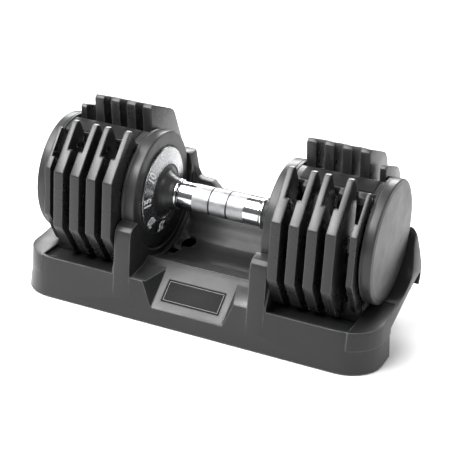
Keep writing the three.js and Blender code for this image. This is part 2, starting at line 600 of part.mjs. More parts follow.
// hollow underside: one pocket under each plate bay, each saddle, the middle and each end
function underside() {
  const inner = trayBlock(TRAY_WALL, UNDERSIDE, DECK_Z - TRAY_WALL);
  const ribs = [SADDLE_IN_X, SADDLE_OUT_X, END_CRADLE_X].flatMap((x) => [x, -x])
    .map((x) => box(x - 1.5, x + 1.5, -90, 90, UNDERSIDE - PAST, 60));
  const behindBadge = box(-FACE_MOUTH_X - 3, FACE_MOUTH_X + 3, -90, -34, UNDERSIDE - PAST, 60);
  const mouth = UNDERSIDE - AXIS_Z;
  const middle = aboutAxis([[-30, mouth], [-30, -75], [0, -71], [25, -66.8], [45, -55.8], [58, -41.6],
    [64, -32], [70, -32], [70, mouth]]);
  const reach = SADDLE_IN_X - TRAY_WALL / 2;
  const crown = alongX(middle, -reach, reach);
  const bosses = footPads().map(([, x, y]) => upright(FOOT.r + 3, x, y, UNDERSIDE - PAST, DECK_Z));
  const pegRoots = [-LOCK_X, LOCK_X].map((x) => upright(LOCK_PIN_R + 3, x, LOCK_Y, PEG_FOOT_Z - 3, DECK_Z));
  return joined(cutBy(inner, ...ribs, behindBadge, ...bosses, ...pegRoots), crown);
}

// under the end cradle everything behind the front corner is open, so a hand can carry the tray;
// the end block above that opening is hollow too
function endCutOut() {
  const foot = UNDERSIDE - AXIS_Z;
  const lower = aboutAxis([[-16, foot], [-16, -80.5], [60, -53], [67, -54], [70, -70], [80, -70],
    [80, foot]]);
  const hollow = aboutAxis([[-13, -85], [-13, -70.5], [0, -67.5], [20, -63.3], [35, -56.3], [47, -46.3],
    [57, -33.5], [70, -20.5], [70, -85]]);
  const room = alongX(hollow, END_CRADLE_X + END_SKIN, TRAY_HALF_X).intersect(insideHornFace(END_SKIN))
    .intersect(trayBlock(TRAY_WALL, UNDERSIDE, AXIS_Z));
  return joined(alongX(lower, END_CRADLE_X + 1.5, TRAY_HALF_X + PAST), room);
}

function endCradleRoom() {
  return joined(bar(END_CRADLE_R, END_CRADLE_X - PAST, TRAY_HALF_X + PAST),
    box(END_CRADLE_X - PAST, TRAY_HALF_X + PAST, -END_CRADLE_R, END_CRADLE_R, AXIS_Z, AXIS_Z + 40));
}

const CRESCENT = { angle: -68, margin: 3, width: 12.5, halfLength: 34, depth: 2.8 };

// shallow half-oval relief in the valley beside the dial
function crescentPocket() {
  const angle = rad(CRESCENT.angle);
  const edge = SADDLE_IN_X - CRESCENT.margin;
  const geometry = new THREE.CylinderGeometry(1, 1, VALLEY_R, FINE);
  geometry.scale(CRESCENT.width, 1, CRESCENT.halfLength);
  geometry.rotateX(angle);
  geometry.translate(edge, VALLEY_R * Math.cos(angle), AXIS_Z + VALLEY_R * Math.sin(angle));
  return solid(geometry).intersect(bar(VALLEY_R + CRESCENT.depth, edge - CRESCENT.width - PAST, edge));
}

const LABEL = { halfX: 30.8, low: 10.2, high: 33.8, depth: 1.4 };

// a flat slab laid on the badge face; lift is its height above that face
function onBadgeFace(halfX, low, high, lift0, lift1) {
  const [y0, z0] = FACE_FRONT_FOOT;
  const [y1, z1] = FACE_TOP;
  const slope = Math.atan2(z1 - z0, y1 - y0);
  const geometry = new THREE.BoxGeometry(2 * halfX, high - low, lift1 - lift0);
  geometry.translate(0, (low + high) / 2, (lift0 + lift1) / 2);
  geometry.rotateX(slope);
  geometry.translate(0, y0, z0);
  return solid(geometry);
}

const badgePlate = () => onBadgeFace(LABEL.halfX, LABEL.low, LABEL.high, TOUCH - LABEL.depth, 0.1);

const FOOT = { fromEnd: 35, y: 60, r: 7, pocket: 2.0 };
const FEET = [['front_left', -1, -1], ['front_right', 1, -1], ['rear_left', -1, 1], ['rear_right', 1, 1]];

function footPads() {
  const x = TRAY_HALF_X - FOOT.fromEnd;
  return FEET.map(([name, sx, sy]) => [name, sx * (x - (sy > 0 ? 8 : 0)), sy * FOOT.y]);
}

const RACK = { y: 34, width: 12 };
const PEG_FOOT_Z = DECK_Z - 5.5;

function tray() {
  const bays = trayBlock(TRAY_WALL, DECK_Z, RIM_Z + PAST);
  const hull = trayBlock(0, FOOT_PROUD, RIM_Z);
  const horn = endHorn();
  const hornLeft = solid(mirrored(geometryOf(horn)));
  const post = frontPost();
  const postLeft = solid(mirrored(geometryOf(post)));
  const shell = joined(cutBy(hull, bays), middleBlock(), rearWall(), post, postLeft, horn, hornLeft);
  const saddleRoom = (x0, x1) => [bar(SADDLE_R, x0, x1), box(x0, x1, -DRUM_R - RUNNING, DRUM_R + RUNNING,
    AXIS_Z, AXIS_Z + 60)];
  const groove = box(PILLAR_OUT_X - 8.3, PILLAR_OUT_X - 3.1, 50, 68, AXIS_Z - 14, AXIS_Z + 15);
  const pegHole = upright(LOCK_PIN_R + TOUCH, LOCK_X, LOCK_Y, PEG_FOOT_Z - TOUCH, AXIS_Z - 40);
  const labelSeat = onBadgeFace(LABEL.halfX + TOUCH, LABEL.low - TOUCH, LABEL.high + TOUCH, -LABEL.depth, 20);
  const tools = [
    ...saddleRoom(SADDLE_IN_X - 0.01, SADDLE_OUT_X + PAST),
    ...saddleRoom(-SADDLE_OUT_X - PAST, 0.01 - SADDLE_IN_X),
    bar(VALLEY_R, -SADDLE_IN_X, SADDLE_IN_X),
    box(-SADDLE_IN_X, SADDLE_IN_X, -60, 62, AXIS_Z - 17, AXIS_Z + 60),
    badgeWedge(), underside(), labelSeat];
  const oneSide = [endCradleRoom(), endCutOut(), groove, crescentPocket(), pegHole,
    upright(8, 46, 26, 20, 60, FINE)];
  oneSide.forEach((tool) => tools.push(tool, solid(mirrored(geometryOf(tool)))));
  footPads().forEach(([, x, y]) => tools.push(upright(FOOT.r + TOUCH, x, y, 0, FOOT_PROUD + FOOT.pocket)));
  return cutBy(shell, ...tools);
}

// comb that keeps the plates upright and apart
function plateRack() {
  const seat = AXIS_Z + PLATE_BOTTOM - TOUCH;
  const x0 = SADDLE_OUT_X + TOUCH;
  const x1 = END_PLATE_X + END_PLATE_T + 0.5;
  const comb = [[x0, DECK_Z + TOUCH], [x1, DECK_Z + TOUCH]];
  const endSeat = AXIS_Z - 59 - TOUCH;
  const guide = seat + 13;
  comb.push([x1, endSeat], [END_PLATE_X - RUNNING, endSeat]);
  comb.push([END_PLATE_X - RUNNING, guide], [PLATE_D_END + RUNNING, guide], [PLATE_D_END + RUNNING, seat]);
  for (let i = 2; i >= 0; i -= 1) {
    const gapStart = PLATE_A_X + i * PLATE_PITCH + PLATE_T;
    comb.push([gapStart + PLATE_GAP - RUNNING, seat], [gapStart + PLATE_GAP - RUNNING, guide]);
    comb.push([gapStart + RUNNING, guide], [gapStart + RUNNING, seat]);
  }
  comb.push([x0, seat]);
  const walls = [-RACK.y, RACK.y].map((y) => alongY(comb, y - RACK.width / 2, y + RACK.width / 2));
  const floor = box(x0, x1, -RACK.y, RACK.y, DECK_Z + TOUCH, DECK_Z + TOUCH + 2);
  return joined(...walls, floor);
}

function unlockPeg() {
  const top = AXIS_Z + LOCK_SEAT_Z - TOUCH;
  return upright(LOCK_PIN_R, LOCK_X, LOCK_Y, PEG_FOOT_Z, top);
}

// ---------- the assembly ----------
const group = new THREE.Group();

const finish = {
  shell: { color: 0x45464a, roughness: 0.45, metalness: 0.1 },
  plate: { color: 0x4a4b4e, roughness: 0.4, metalness: 0.2 },
  disc: { color: 0x55565a, roughness: 0.42, metalness: 0.15 },
  black: { color: 0x121214, roughness: 0.4, metalness: 0.0 },
  chrome: { color: 0xd6d8da, roughness: 0.12, metalness: 1.0 },
  dial: { color: 0x3a3b3f, roughness: 0.2, metalness: 0.7 },
  steel: { color: 0x8b8d90, roughness: 0.35, metalness: 0.9 },
  rubber: { color: 0x1a1a1a, roughness: 0.9, metalness: 0.0 },
};

function place(name, geometry, look) {
  const mesh = new THREE.Mesh(geometry, new THREE.MeshStandardMaterial(finish[look]));
  mesh.name = name;
  group.add(mesh);
}

const single = (name, shape, look) => place(name, geometryOf(shape), look);

function pair(name, shape, look) {
  const right = geometryOf(shape);
  place(`${name}_right`, right, look);
  place(`${name}_left`, mirrored(right), look);
}

single('tray_shell', tray(), 'shell');
single('tray_badge_plate', badgePlate(), 'black');
footPads().forEach(([name, x, y]) => {
  single(`foot_pad_${name}`, upright(FOOT.r, x, y, 0, FOOT_PROUD + FOOT.pocket - TOUCH), 'rubber');
});
pair('plate_rack', plateRack(), 'black');
pair('unlock_peg', unlockPeg(), 'black');

pair('inner_housing', drum(), 'disc');
pair('housing_cover', drumCover(), 'black');
pair('spine_bar', spine(), 'steel');
pair('bridge_cover', bridgeCover(), 'disc');
pair('bridge_label', bridgeLabel(), 'black');
pair('outer_disc', outerCap(), 'disc');
single('centre_rod', rod(), 'steel');
pair('rod_nut', rodNut(), 'steel');
pair('lock_spring', lockSpring(), 'steel');
pair('lock_bar', lockBar(), 'steel');

single('grip_sleeve', grip(), 'chrome');
pair('grip_flange', flange(), 'chrome');
pair('handle_hub', hub(), 'black');
pair('weight_dial', dial(), 'dial');
pair('drive_gear', driveGear(), 'steel');

pair('driven_gear', drivenGear(), 'steel');
pair('selector_shaft', hexagon(SEL_SHAFT_R, CAVITY_X + RUNNING, CAP_OUT_X - CAP_WALL - RUNNING), 'steel');
const discAB = PLATE_A_X + PLATE_T + PLATE_GUIDE;
const discCD = discAB + 2 * PLATE_PITCH;
const discT = PLATE_GAP - 2 * PLATE_GUIDE;
const discE = END_PLATE_X - PLATE_GUIDE - discT;
pair('selector_disc_1', selectorDisc(discAB, discAB + discT, 1, 2), 'black');
pair('selector_disc_2', selectorDisc(discCD, discCD + discT, 3, 4), 'black');
pair('selector_disc_3', selectorDisc(discE, discE + discT, 0, 4), 'black');

PLATE_NAMES.forEach((letter, i) => {
  const side = i % 2 === 0 ? 1 : -1;
  const x0 = PLATE_A_X + i * PLATE_PITCH;
  pair(`weight_plate_${letter}`, plate(mainPlateOutline(), x0, PLATE_T, side, NOTCH_Z), 'plate');
});
pair('weight_plate_e', plate(endPlateOutline(), END_PLATE_X, END_PLATE_T, -1, 36.5), 'plate');

export default group;
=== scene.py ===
"""Looks of an adjustable dumbbell in its tray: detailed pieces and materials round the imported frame."""
import json
import math

import bmesh
import bpy
import numpy as np
from mathutils import Matrix, Vector


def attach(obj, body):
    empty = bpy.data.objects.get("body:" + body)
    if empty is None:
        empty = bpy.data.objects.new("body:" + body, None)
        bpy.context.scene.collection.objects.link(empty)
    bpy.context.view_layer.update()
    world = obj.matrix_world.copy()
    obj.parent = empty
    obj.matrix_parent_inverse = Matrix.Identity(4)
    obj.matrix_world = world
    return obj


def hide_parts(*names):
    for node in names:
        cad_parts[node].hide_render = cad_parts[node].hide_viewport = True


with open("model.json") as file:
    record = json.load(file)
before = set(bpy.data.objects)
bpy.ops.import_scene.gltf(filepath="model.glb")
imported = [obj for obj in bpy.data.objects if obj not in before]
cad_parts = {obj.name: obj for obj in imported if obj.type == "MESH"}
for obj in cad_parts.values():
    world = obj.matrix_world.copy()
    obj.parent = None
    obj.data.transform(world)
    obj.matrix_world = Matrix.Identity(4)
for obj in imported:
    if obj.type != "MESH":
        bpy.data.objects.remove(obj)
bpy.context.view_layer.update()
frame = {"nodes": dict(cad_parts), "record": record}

# sizes are in metres, in the frame's own axes: +X along the handle, +Y to the rear, +Z up
AXIS_Z = 0.1115           # handle axis above the table
SIDES = {"left": -1, "right": 1}


# ---------- camera ----------
CAM_AT = Vector((0.4944, -1.1476, 0.6284))
CAM_YAW, CAM_PITCH, CAM_ROLL = (math.radians(a) for a in (23.127, 23.361, 3.598))
CAM_LENS, CAM_SENSOR, CAM_REACH = 109.33, 36, 20


def make_camera():
    level = math.cos(CAM_PITCH)
    look = Vector((-math.sin(CAM_YAW) * level, math.cos(CAM_YAW) * level, -math.sin(CAM_PITCH)))
    right = Vector((math.cos(CAM_YAW), math.sin(CAM_YAW), 0))
    up = right.cross(look)
    x = right * math.cos(CAM_ROLL) + up * math.sin(CAM_ROLL)
    y = -right * math.sin(CAM_ROLL) + up * math.cos(CAM_ROLL)
    data = bpy.data.cameras.new("camera")
    data.lens = CAM_LENS
    data.sensor_width = CAM_SENSOR
    data.clip_end = CAM_REACH
    cam = bpy.data.objects.new("camera", data)
    cam.matrix_world = Matrix((x, y, -look)).transposed().to_4x4()
    cam.location = CAM_AT
    bpy.context.scene.collection.objects.link(cam)
    bpy.context.scene.camera = cam


make_camera()


# ---------- materials ----------
EDGE_FLAT, EDGE_SHARP = 0.985, 0.80     # cosines between the rounded and the true normal
MID_LOW, MID_HIGH = 0.3, 0.7            # where noise changes from its low to its high end


class Nodes:
    """Short names for building one material's node tree."""

    def __init__(self, name):
        self.mat = bpy.data.materials.new(name)
        self.mat.use_nodes = True
        self.tree = self.mat.node_tree
        self.bsdf = self.tree.nodes["Principled BSDF"]
        self.coord = self.add("ShaderNodeTexCoord").outputs["Object"]

    def add(self, kind, **values):
        node = self.tree.nodes.new(kind)
        for key, value in values.items():
            setattr(node, key, value)
        return node

    def link(self, a, b):
        self.tree.links.new(a, b)

    def noise(self, scale, detail=3.0, rough=0.55, stretch=None):
        n = self.add("ShaderNodeTexNoise")
        n.inputs["Scale"].default_value = scale
        n.inputs["Detail"].default_value = detail
        n.inputs["Roughness"].default_value = rough
        source = self.coord
        if stretch:
            m = self.add("ShaderNodeMapping")
            m.inputs["Scale"].default_value = stretch
            self.link(source, m.inputs["Vector"])
            source = m.outputs["Vector"]
        self.link(source, n.inputs["Vector"])
        return n.outputs["Fac"]

    def span(self, value, a, b, low=0.0, high=1.0):
        m = self.add("ShaderNodeMapRange")
        m.inputs["From Min"].default_value = a
        m.inputs["From Max"].default_value = b
        m.inputs["To Min"].default_value = low
        m.inputs["To Max"].default_value = high
        self.link(value, m.inputs["Value"])
        return m.outputs["Result"]

    def mid(self, value, low=0.0, high=1.0):
        """low to high over the middle part of a noise."""
        return self.span(value, MID_LOW, MID_HIGH, low, high)

    def math(self, kind, a, b):
        m = self.add("ShaderNodeMath", operation=kind)
        for socket, v in zip(m.inputs, (a, b)):
            if isinstance(v, (int, float)):
                socket.default_value = v
            else:
                self.link(v, socket)
        return m.outputs[0]

    def mix(self, fac, a, b):
        m = self.add("ShaderNodeMix", data_type="RGBA")
        self.link(fac, m.inputs["Factor"])
        for socket, v in ((m.inputs["A"], a), (m.inputs["B"], b)):
            if isinstance(v, tuple):
                socket.default_value = (*v, 1)
            else:
                self.link(v, socket)
        return m.outputs["Result"]

    def bump(self, height, strength, distance, normal=None):
        b = self.add("ShaderNodeBump")
        b.inputs["Strength"].default_value = strength
        b.inputs["Distance"].default_value = distance
        self.link(height, b.inputs["Height"])
        if normal is not None:
            self.link(normal, b.inputs["Normal"])
        return b.outputs["Normal"]

    def edges(self, radius):
        """1 where a surface bends sharply within radius, 0 on flats."""
        bevel = self.add("ShaderNodeBevel", samples=6)
        bevel.inputs["Radius"].default_value = radius
        geo = self.add("ShaderNodeNewGeometry")
        dot = self.add("ShaderNodeVectorMath", operation="DOT_PRODUCT")
        self.link(bevel.outputs["Normal"], dot.inputs[0])
        self.link(geo.outputs["True Normal"], dot.inputs[1])
        return self.span(dot.outputs["Value"], EDGE_FLAT, EDGE_SHARP), bevel.outputs["Normal"]

    def surface(self, color=None, rough=None, normal=None):
        for socket, value in (("Base Color", color), ("Roughness", rough), ("Normal", normal)):
            if value is not None:
                self.link(value, self.bsdf.inputs[socket])


def grey(v):
    """A neutral linear colour with a faint cool cast."""
    return (v, v * 1.01, v * 1.035)


def moulded(name, tone, rough, grain, grain_scale, edge, edge_highlight, specular):
    """Moulded plastic or coated metal: fine grain, faint blotches, and sharp edges made lighter as a painted
    highlight.
    """
    n = Nodes(name)
    blotch = n.noise(22, 4, 0.6)
    fine = n.noise(260, 2, 0.5)
    edge_mask, rounded = n.edges(edge)
    patch = n.noise(70, 3, 0.6)
    # painted highlight: sharp edges are coloured lighter, unevenly along their length, to stand for light
    # caught on their rounding
    painted_highlight_mask = n.math("MULTIPLY", edge_mask, n.span(patch, 0.38, 0.62, 0.55, 1.0))
    base = n.mix(n.mid(blotch), grey(tone * 0.9), grey(tone * 1.1))
    base = n.mix(n.span(fine, 0.35, 0.65, 0.0, 0.22), base, grey(tone * 1.35))
    base = n.mix(painted_highlight_mask, base, grey(tone * edge_highlight))
    gloss = n.mid(n.noise(45, 3, 0.6), rough - 0.05, rough + 0.06)
    pebble = n.noise(grain_scale, 2, 0.5)
    normal = n.bump(pebble, grain, 0.0002, rounded)
    n.surface(base, gloss, normal)
    n.bsdf.inputs["Specular IOR Level"].default_value = specular
    return n.mat


def machined(name, tone, rough):
    """Bare metal with fine tool lines along the X axis."""
    n = Nodes(name)
    lines = n.noise(35, 3, 0.6, stretch=(1, 60, 60))
    cloud = n.noise(40, 3, 0.5)
    _, rounded = n.edges(0.0004)
    base = n.mix(n.mid(lines), grey(tone * 0.85), grey(tone * 1.08))
    gloss = n.mid(cloud, rough * 0.8, rough * 1.25)
    n.surface(base, gloss, n.bump(lines, 0.08, 0.0001, rounded))
    n.bsdf.inputs["Metallic"].default_value = 1
    return n.mat


def chrome(name):
    n = Nodes(name)
    cloud = n.noise(60, 4, 0.6)
    hair = n.noise(30, 2, 0.6, stretch=(1, 40, 40))
    _, rounded = n.edges(0.0004)
    base = n.mix(n.mid(cloud), grey(0.60), grey(0.70))
    gloss = n.span(hair, 0.35, 0.7, 0.10, 0.17)
    n.surface(base, gloss, rounded)
    n.bsdf.inputs["Metallic"].default_value = 1
    return n.mat


def label_black(name):
    n = Nodes(name)
    cloud = n.noise(30, 3, 0.6)
    speck = n.noise(600, 2, 0.6)
    base = n.mix(n.mid(cloud), grey(0.009), grey(0.014))
    base = n.mix(n.span(speck, 0.62, 0.75, 0, 0.2), base, grey(0.05))
    n.surface(base, n.mid(cloud, 0.54, 0.62), n.bump(speck, 0.05, 0.0001))
    n.bsdf.inputs["Specular IOR Level"].default_value = 0.1
    return n.mat


def knurled_chrome(name):
    """Chrome whose tiny diamond points scatter the light."""
    n = Nodes(name)
    cloud = n.noise(55, 4, 0.65)
    grit = n.noise(420, 2, 0.6)
    base = n.mix(n.span(cloud, 0.35, 0.65), grey(0.25), grey(0.40))
    n.surface(base, n.mid(cloud, 0.3, 0.42), n.bump(grit, 0.35, 0.0003))
    n.bsdf.inputs["Metallic"].default_value = 1
    return n.mat


def printed(name, tone):
    """Ink or paint of printed marks."""
    n = Nodes(name)
    cloud = n.noise(160, 3, 0.6)
    n.surface(n.mix(n.mid(cloud), grey(tone * 0.9), grey(tone)), n.mid(cloud, 0.4, 0.5))
    return n.mat


def rubber(name):
    n = Nodes(name)
    cloud = n.noise(300, 3, 0.6)
    n.surface(n.mix(n.mid(cloud), grey(0.014), grey(0.024)), n.mid(cloud, 0.72, 0.86),
              n.bump(cloud, 0.25, 0.0003))
    return n.mat


def ring_gloss(name):
    """Glossy grey metal of the dial ring, its gloss a little uneven."""
    n = Nodes(name)
    cloud = n.noise(50, 3, 0.6)
    fine = n.noise(20, 2, 0.6, stretch=(1, 30, 30))
    base = n.mix(n.mid(cloud), grey(0.36), grey(0.44))
    n.surface(base, n.mid(fine, 0.24, 0.31), n.bump(cloud, 0.02, 0.0001))
    n.bsdf.inputs["Metallic"].default_value = 1
    return n.mat


# the number after edge= is the radius of the painted edge highlight; the next number is how many times the
# tone that highlight reaches
MAT = {
    "tray": moulded("tray_plastic", 0.018, rough=0.34, grain=0.12, grain_scale=1100, edge=0.0018, edge_highlight=6.5,
                    specular=0.30),
    "plate": moulded("plate_coating", 0.013, rough=0.29, grain=0.10, grain_scale=1300, edge=0.0015, edge_highlight=8.0,
                     specular=0.36),
    "disc": moulded("disc_plastic", 0.025, rough=0.35, grain=0.08, grain_scale=1300, edge=0.0010, edge_highlight=4.0,
                    specular=0.3),
    "black": moulded("black_plastic", 0.008, rough=0.40, grain=0.14, grain_scale=1000, edge=0.0005, edge_highlight=1.6,
                     specular=0.3),
    "hub": moulded("hub_plastic", 0.020, rough=0.34, grain=0.08, grain_scale=1300, edge=0.0005, edge_highlight=1.5,
                   specular=0.3),
    "steel": machined("inner_steel", 0.42, 0.3),
    "chrome": chrome("grip_chrome"),
    "knurl": knurled_chrome("grip_knurl"),
    "dial": ring_gloss("dial_gloss"),
    "label": label_black("label_black"),
    "white": printed("print_white", 0.82),
    "border": printed("print_grey", 0.10),
    "dark": printed("print_dark", 0.008),
    "rubber": rubber("pad_rubber"),
}


# ---------- mesh helpers ----------
def new_object(name, mesh, material, body, replaces=(), smooth_angle=35):
    obj = bpy.data.objects.new(name, mesh)
    bpy.context.scene.collection.objects.link(obj)
    mesh.materials.clear()
    mesh.materials.append(MAT[material])
    shade(mesh, smooth_angle)
    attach(obj, body)
    if replaces:
        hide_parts(*replaces)


def shade(mesh, angle):
    """Smooth shading with hard edges where faces meet at more than angle degrees."""
    mesh.polygons.foreach_set("use_smooth", [True] * len(mesh.polygons))
    mesh.set_sharp_from_angle(angle=math.radians(angle))


def mesh_from(verts, faces):
    mesh = bpy.data.meshes.new("mesh")
    mesh.from_pydata([tuple(v) for v in verts], [], faces)
    mesh.update()
    return mesh


def fix_normals(mesh):
    bm = bmesh.new()
    bm.from_mesh(mesh)
    bmesh.ops.remove_doubles(bm, verts=bm.verts, dist=1e-6)
    bmesh.ops.recalc_face_normals(bm, faces=bm.faces)
    bm.to_mesh(mesh)
    bm.free()
    return mesh


WELD = 2e-5               # corners nearer than this are one
FLAT = math.radians(0.6)  # faces nearer than this to one plane are one


def rounded_copy(node, width, segments, angle):
    """The CAD node's mesh with its flat faces made whole and its sharp edges rounded."""
    mesh = frame["nodes"][node].data.copy()
    bm = bmesh.new()
    bm.from_mesh(mesh)
    bmesh.ops.remove_doubles(bm, verts=bm.verts, dist=WELD)
    bmesh.ops.dissolve_limit(bm, angle_limit=FLAT, verts=bm.verts, edges=bm.edges)
    bmesh.ops.recalc_face_normals(bm, faces=bm.faces)
    limit = math.radians(angle)
    sharp = [e for e in bm.edges if len(e.link_faces) == 2 and e.calc_face_angle(0) > limit]
    bmesh.ops.bevel(bm, geom=sharp, offset=width, offset_type="OFFSET", segments=segments, profile=0.5,
                    affect="EDGES", clamp_overlap=True, harden_normals=False)
    bmesh.ops.triangulate(bm, faces=[f for f in bm.faces if len(f.verts) > 4])
    bm.to_mesh(mesh)
    bm.free()
    return mesh


def rounded_node(node, material, body, width, segments=3, angle=25):
    mesh = rounded_copy(node, width, segments, angle)
    new_object(f"{node}_finished", mesh, material, body, [node])


def lathe(profile, sides=128, y=0.0, z=AXIS_Z):
    """Turned mesh: closed profile of (x, r) points in metres round a line along X."""
    verts, faces = [], []
    count = len(profile)
    for i in range(sides):
        a = 2 * math.pi * i / sides
        c, s = math.cos(a), math.sin(a)
        verts += [(x, y + r * c, z + r * s) for x, r in profile]
    for i in range(sides):
        j = (i + 1) % sides
        for k in range(count):
            m = (k + 1) % count
            quad = [i * count + k, i * count + m, j * count + m, j * count + k]
            faces.append(quad)
    return fix_normals(mesh_from(verts, faces))


def filleted(points, radii, steps=5):
    """A closed profile with each corner rounded by its radius."""
    out = []
    n = len(points)
    for i in range(n):
        p, r = Vector(points[i]), radii[i]
        a = Vector(points[i - 1]) - p
        b = Vector(points[(i + 1) % n]) - p
        if r <= 0 or a.length < 1e-9 or b.length < 1e-9:
            out.append(tuple(p))
            continue
        angle = a.angle(b)
        reach = min(r / math.tan(angle / 2), a.length * 0.49, b.length * 0.49)
        r = reach * math.tan(angle / 2)
        centre = p + (a.normalized() + b.normalized()).normalized() * (r / math.sin(angle / 2))
        start, end = p + a.normalized() * reach, p + b.normalized() * reach
        u, v = start - centre, end - centre
        sweep = u.angle_signed(v) if u.length and v.length else 0
        for k in range(steps + 1):
            t = -sweep * k / steps
            c, s = math.cos(t), math.sin(t)
            out.append((centre.x + u.x * c - u.y * s, centre.y + u.x * s + u.y * c))
    return out


def mirror_x(points, sign):
    return [(sign * x, r) for x, r in points]


# ---------- discs, dial and handle ----------
DRUM_X, DRUM_OUT_X, DRUM_R = 0.0674, 0.0817, 0.0603
CAVITY_X = 0.0700
CAP_X, CAP_OUT_X, CAP_R = 0.1646, 0.1768, 0.0612
DIAL_X = DRUM_X - 0.0022
DIAL_R, DIAL_IN_R, DIAL_RISE = 0.0447, 0.0280, 0.0032
LOCK_X, LOCK_Y, LOCK_HOLE_R, LOCK_HOLE_Z = 0.0750, -0.028, 0.0036, (0.0480, 0.0680)
SELECTOR_Y, SELECTOR_Z = -0.014, AXIS_Z - 0.020
BORE_R = 0.0053           # hole for the rod
DISC_SIDES, CONE_SIDES, BEARING_SIDES = 160, 96, 48


def inner_disc(side, sign):
    wall = 0.0026
    profile = [(DRUM_X, 0.0096), (DRUM_X, 0.0450), (DRUM_X + 0.0007, 0.0454), (DRUM_X + 0.0007, 0.0462),
               (DRUM_X, 0.0466), (DRUM_X, DRUM_R), (DRUM_X + 0.0105, DRUM_R),
               (DRUM_X + 0.0109, DRUM_R - 0.0005), (DRUM_X + 0.0116, DRUM_R - 0.0005),
               (DRUM_X + 0.0120, DRUM_R), (DRUM_OUT_X, DRUM_R),
               (DRUM_OUT_X, DRUM_R - wall), (CAVITY_X, DRUM_R - wall), (CAVITY_X, 0.0096)]
    groove, ridge = [0.0002] * 4, [0.0001] * 4
    radii = [0, *groove, 0.0016, *ridge, 0.0005, 0.0003, 0, 0]
    mesh = lathe(mirror_x(filleted(profile, radii), sign), DISC_SIDES)
    cut_hole(mesh, sign * LOCK_X, LOCK_Y, LOCK_HOLE_R, *LOCK_HOLE_Z)
    new_object(f"inner_disc_{side}", mesh, "disc", "core", [f"inner_housing_{side}"])


def cut_hole(mesh, x, y, radius, z0, z1):
    """Cuts an upright round hole through a mesh."""
    holder = bpy.data.objects.new("hole_target", mesh)
    tool_mesh = bpy.data.meshes.new("hole_tool")
    bm = bmesh.new()
    bmesh.ops.create_cone(bm, cap_ends=True, segments=32, radius1=radius, radius2=radius, depth=z1 - z0,
                          matrix=Matrix.Translation((x, y, (z0 + z1) / 2)))
    bm.to_mesh(tool_mesh)
    bm.free()
    tool = bpy.data.objects.new("hole_tool", tool_mesh)
    for o in (holder, tool):
        bpy.context.scene.collection.objects.link(o)
    apply_boolean(holder, tool, mesh)
    bpy.data.objects.remove(holder)
    bpy.data.objects.remove(tool)


def apply_boolean(holder, tool, mesh):
    """Leaves in mesh what the tool doesn't take away from the holder."""
    modifier = holder.modifiers.new("cut", "BOOLEAN")
    modifier.operation = "DIFFERENCE"
    modifier.solver = "EXACT"
    modifier.object = tool
    bpy.context.view_layer.update()
    result = holder.evaluated_get(bpy.context.evaluated_depsgraph_get())
    bm = bmesh.new()
    bm.from_mesh(result.to_mesh())
    result.to_mesh_clear()
    bm.to_mesh(mesh)
    bm.free()
    holder.modifiers.clear()


def outer_disc(side, sign):
    wall = 0.003
    profile = [(CAP_OUT_X, 0.0), (CAP_OUT_X, CAP_R - 0.0050), (CAP_OUT_X - 0.0004, CAP_R - 0.0034),
               (CAP_OUT_X - 0.0006, CAP_R), (CAP_X + 0.0030, CAP_R), (CAP_X + 0.0026, CAP_R - 0.0006),
               (CAP_X + 0.0018, CAP_R - 0.0006), (CAP_X + 0.0014, CAP_R), (CAP_X, CAP_R),
               (CAP_X, CAP_R - wall), (CAP_OUT_X - wall, CAP_R - wall), (CAP_OUT_X - wall, 0.0)]
    radii = [0, 0.0006, 0.0005, 0.0018, 0.0001, 0.0001, 0.0001, 0.0001, 0.0008, 0.0003, 0, 0]
    shell = lathe(mirror_x(filleted(profile, radii), sign), DISC_SIDES)
    inner, outer = 0.0076, 0.0110
    sleeve = [(CAP_X + 0.001, inner), (CAP_X + 0.001, outer),
              (CAP_OUT_X - wall, outer), (CAP_OUT_X - wall, inner)]
    bearing = lathe(mirror_x(sleeve, sign), BEARING_SIDES, SELECTOR_Y, SELECTOR_Z)
    mesh = merged([shell, bearing])
    new_object(f"outer_disc_finished_{side}", mesh, "disc", "core", [f"outer_disc_{side}"])


def merged(meshes):
    bm = bmesh.new()
    for m in meshes:
        bm.from_mesh(m)
    out = bpy.data.meshes.new("merged")
    bm.to_mesh(out)
    bm.free()
    return out


def dial_ring(side, sign):
    profile = [(DIAL_X - DIAL_RISE, DIAL_IN_R), (DIAL_X - DIAL_RISE, DIAL_IN_R + 0.0012),
               (DIAL_X - DIAL_RISE + 0.0003, DIAL_IN_R + 0.0018), (DIAL_X - 0.0002, DIAL_R - 0.0014),
               (DIAL_X - 0.0002, DIAL_R - 0.0008), (DIAL_X + 0.0002, DIAL_R), (DRUM_X - 0.0006, DIAL_R),
               (DRUM_X - 0.0006, DIAL_IN_R)]
    radii = [0.0002, 0.0003, 0.0003, 0.0002, 0.0003, 0.0004, 0.0002, 0]
    mesh = lathe(mirror_x(filleted(profile, radii), sign), DISC_SIDES)
    new_object(f"dial_ring_{side}", mesh, "dial", "handle", [f"weight_dial_{side}"])


def hub_cone(side, sign):
    seat = DIAL_X - DIAL_RISE + 0.0006
    face = 0.0480
    foot = DIAL_IN_R - 0.0003
    back = DRUM_X - 0.0006
    end = 0.0711
    profile = [(face, BORE_R), (face, 0.0150), (face + 0.0045, 0.0162), (seat - 0.0050, 0.0190),
               (seat - 0.0018, 0.0220), (seat - 0.0004, 0.0262), (seat - 0.0004, 0.0270), (seat, foot),
               (back, foot), (back, 0.0090), (end, 0.0090), (end, BORE_R)]
    radii = [0, 0.0008, 0.004, 0.004, 0.004, 0.0004, 0.0003, 0.0003, 0, 0, 0.0003, 0]
    mesh = lathe(mirror_x(filleted(profile, radii), sign), CONE_SIDES)
    new_object(f"hub_cone_{side}", mesh, "hub", "handle", [f"handle_hub_{side}"])


